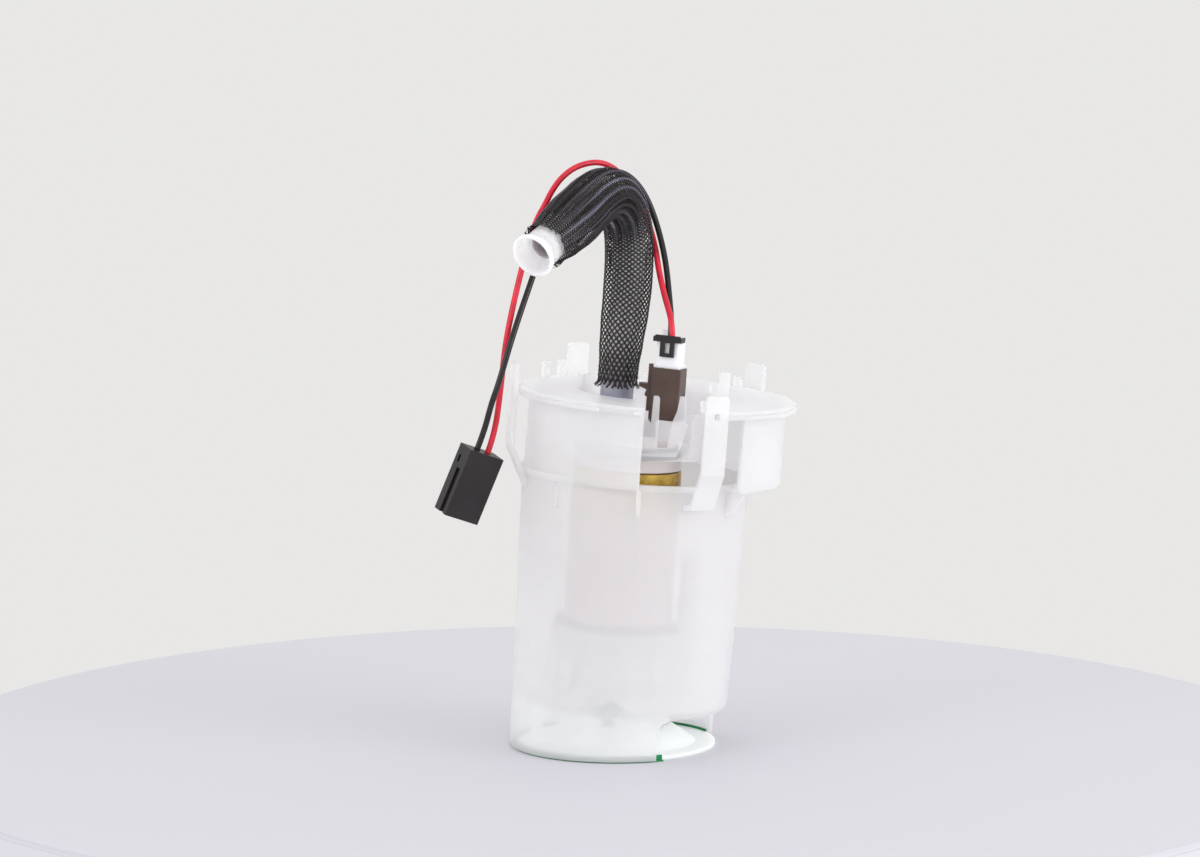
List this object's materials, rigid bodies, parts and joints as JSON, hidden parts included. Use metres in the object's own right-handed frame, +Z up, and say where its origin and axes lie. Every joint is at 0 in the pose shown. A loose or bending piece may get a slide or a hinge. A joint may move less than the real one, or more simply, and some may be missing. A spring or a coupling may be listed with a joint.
{
  "type": "electric fuel pump",
  "caption": "In-tank electric fuel pump in a translucent swirl pot, with its outlet hose in a braided sleeve and a two-wire lead to a harness connector.",
  "frame": {"origin": "centre of the ring that rests on the tank floor, under the pot's axis", "axes": "+Z up from the tank floor, -Y towards the side with the window and the hose's mouth, +X towards the side the pot leans to"},
  "size_m": [0.1441, 0.1128, 0.234],
  "materials": {
    "natural_acetal": "satin, translucent",
    "clear_nylon": "satin, translucent",
    "base_acetal": "satin",
    "green_rubber": "matt",
    "black_rubber": "matt",
    "white_acetal": "satin",
    "nylon_mesh": "woven",
    "passivated_steel": "yellow passivated",
    "die_cast_aluminium": "as cast",
    "phenolic": "moulded",
    "spring_steel": "bright",
    "laminated_steel": "stamped stack",
    "copper": "enamelled wire and bars",
    "ferrite": "sintered, ground",
    "sintered_bronze": "sintered",
    "grey_moulding": "satin",
    "carbon": "pressed",
    "tinned_brass": "tinned",
    "brown_nylon": "satin",
    "black_nylon": "satin",
    "hose_nylon": "translucent",
    "braided_polyester": "braided",
    "red_insulation": "extruded",
    "black_insulation": "extruded"
  },
  "bodies": {
    "root": {"reservoir": "natural_acetal", "pump_holder": "clear_nylon", "base_plate": "base_acetal", "base_seal": "green_rubber", "rubber_mount_lower": "black_rubber", "rubber_mount_upper": "black_rubber", "inlet_strainer": "white_acetal", "jet_pump": "white_acetal", "hose_end_fitting": "white_acetal", "pump_plug": "white_acetal", "check_valve_guide": "white_acetal", "strainer_mesh": "nylon_mesh", "pump_can": "passivated_steel", "inlet_cover": "die_cast_aluminium", "pump_plate": "die_cast_aluminium", "thrust_pad": "phenolic", "magnet_clips": "spring_steel", "hose_clip": "spring_steel", "brush_spring_front": "spring_steel", "brush_spring_rear": "spring_steel", "check_valve_spring": "spring_steel", "relief_spring": "spring_steel", "field_magnets": "ferrite", "lower_bearing": "sintered_bronze", "upper_bearing": "sintered_bronze", "relief_plug": "sintered_bronze", "pump_end_cap": "grey_moulding", "terminal_pins": "tinned_brass", "harness_terminals": "tinned_brass", "connector_socket": "brown_nylon", "harness_connector": "black_nylon", "fuel_hose": "hose_nylon", "braided_sleeve": "braided_polyester", "wire_red": "red_insulation", "wire_black": "black_insulation"},
    "rotor": {"shaft": "spring_steel", "armature_core": "laminated_steel", "armature_winding": "copper", "commutator": "copper", "impeller": "phenolic"},
    "front_brush": {"brush_front": "carbon"},
    "rear_brush": {"brush_rear": "carbon"},
    "outlet_valve": {"check_valve": "white_acetal"},
    "relief_valve": {"relief_ball": "spring_steel"},
    "floor_valve": {"foot_valve": "green_rubber"},
    "lock_clip": {"plug_lock": "black_nylon"}
  },
  "joints": [
    {"name": "rotor_spin", "type": "hinge", "parent": "root", "child": "rotor", "pos_m": [0.00243, 0, 0.08003], "axis": [0.0715, 0, 0.9974], "continuous": true},
    {"name": "brush_front_slide", "type": "slide", "parent": "root", "child": "front_brush", "axis": [0.0715, 0, 0.9974], "range_m": [0, 0.003], "stiffness_N_per_m": 150, "springref_m": -0.006, "deforming": ["brush_spring_front"]},
    {"name": "brush_rear_slide", "type": "slide", "parent": "root", "child": "rear_brush", "axis": [0.0715, 0, 0.9974], "range_m": [0, 0.003], "stiffness_N_per_m": 150, "springref_m": -0.006, "deforming": ["brush_spring_rear"]},
    {"name": "check_valve_lift", "type": "slide", "parent": "root", "child": "outlet_valve", "axis": [0.0715, 0, 0.9974], "range_m": [0, 0.0018], "stiffness_N_per_m": 100, "springref_m": -0.003, "deforming": ["check_valve_spring"]},
    {"name": "relief_lift", "type": "slide", "parent": "root", "child": "relief_valve", "axis": [0.0715, 0, 0.9974], "range_m": [0, 0.0012], "stiffness_N_per_m": 1500, "springref_m": -0.002, "deforming": ["relief_spring"]},
    {"name": "foot_valve_lift", "type": "slide", "parent": "root", "child": "floor_valve", "axis": [0.0715, 0, 0.9974], "range_m": [0, 0.0018]},
    {"name": "lock_slide", "type": "slide", "parent": "root", "child": "lock_clip", "axis": [0.0715, 0, 0.9974], "range_m": [0, 0.002]}
  ]
}
